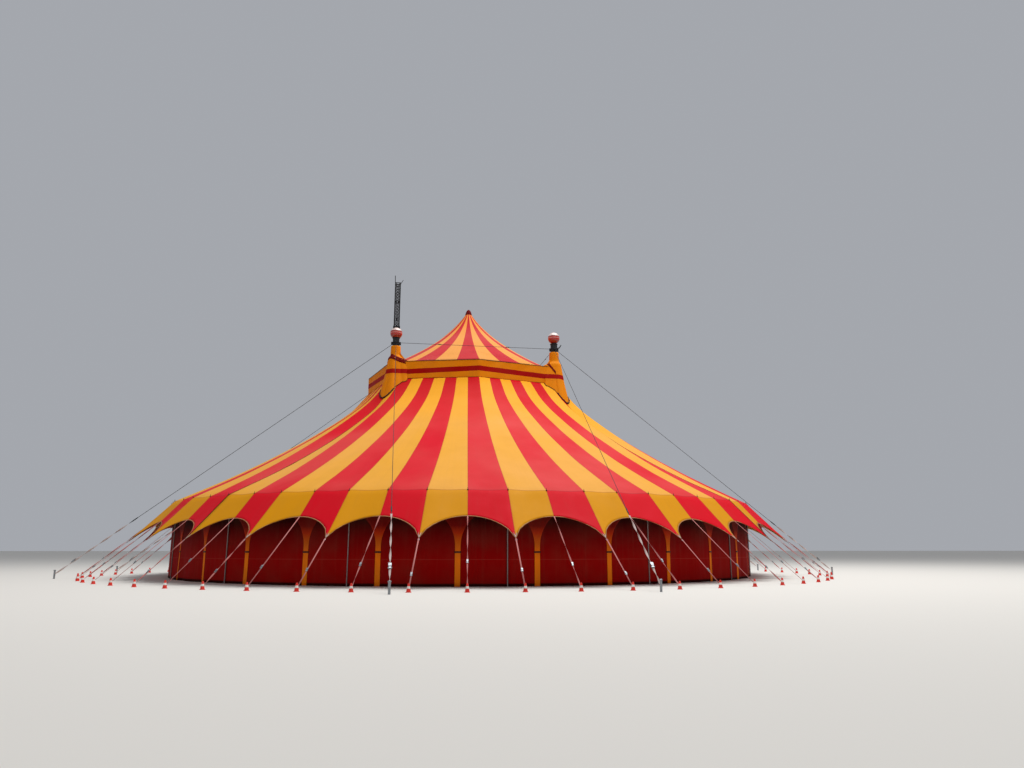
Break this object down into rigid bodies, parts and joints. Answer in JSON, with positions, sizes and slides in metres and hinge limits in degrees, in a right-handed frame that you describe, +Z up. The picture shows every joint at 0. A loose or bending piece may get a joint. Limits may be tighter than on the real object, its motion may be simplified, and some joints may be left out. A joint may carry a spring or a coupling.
{
  "type": "circus big top tent, 1:2 scale model",
  "caption": "Round big top tent on four lattice masts, with a striped roof, a coned cupola, a scalloped valance, hung walls and guyed eaves, at half size.",
  "frame": {"origin": "on the ground under the peak, at the middle of the bottom of the bounding box", "axes": "+Z up, -Y towards the front, +X to the right as seen from the front"},
  "size_m": [25.052, 25.052, 10.0504],
  "materials": {
    "roof_cloth": "striped yellow and red coated cloth, satin",
    "skirt_cloth": "orange-yellow coated cloth, satin",
    "wall_cloth": "dark red coated cloth, matt",
    "cap_cloth": "dark red coated cloth, satin",
    "webbing": "faded webbing",
    "mast_paint": "dark satin paint",
    "ball_paint": "white and red, glossy",
    "galvanised": "galvanised",
    "cable": "dull wire rope"
  },
  "bodies": {
    "root": {"front_roof": "roof_cloth", "right_roof": "roof_cloth", "rear_roof": "roof_cloth", "left_roof": "roof_cloth", "front_right_sleeve": "skirt_cloth", "front_right_eave_guys": "webbing", "front_right_mast_guys": "cable", "front_right_mast": "mast_paint", "front_right_mast_ball": "ball_paint", "front_right_side_poles": "galvanised", "rear_right_sleeve": "skirt_cloth", "rear_right_eave_guys": "webbing", "rear_right_mast_guys": "cable", "rear_right_mast": "mast_paint", "rear_right_mast_ball": "ball_paint", "rear_right_side_poles": "galvanised", "rear_left_sleeve": "skirt_cloth", "rear_left_eave_guys": "webbing", "rear_left_mast_guys": "cable", "rear_left_mast": "mast_paint", "rear_left_mast_ball": "ball_paint", "rear_left_side_poles": "galvanised", "front_left_sleeve": "skirt_cloth", "front_left_eave_guys": "webbing", "front_left_mast_guys": "cable", "front_left_mast": "mast_paint", "front_left_mast_ball": "ball_paint", "front_left_side_poles": "galvanised", "wall_1": "wall_cloth", "wall_2": "wall_cloth", "wall_3": "wall_cloth", "wall_4": "wall_cloth", "wall_5": "wall_cloth", "wall_6": "wall_cloth", "wall_7": "wall_cloth", "wall_8": "wall_cloth", "cupola_roof": "roof_cloth", "cupola_skirt": "skirt_cloth", "cupola_frame": "mast_paint", "peak_post": "mast_paint", "peak_cap": "cap_cloth", "mast_head_cables": "cable"}
  },
  "joints": []
}
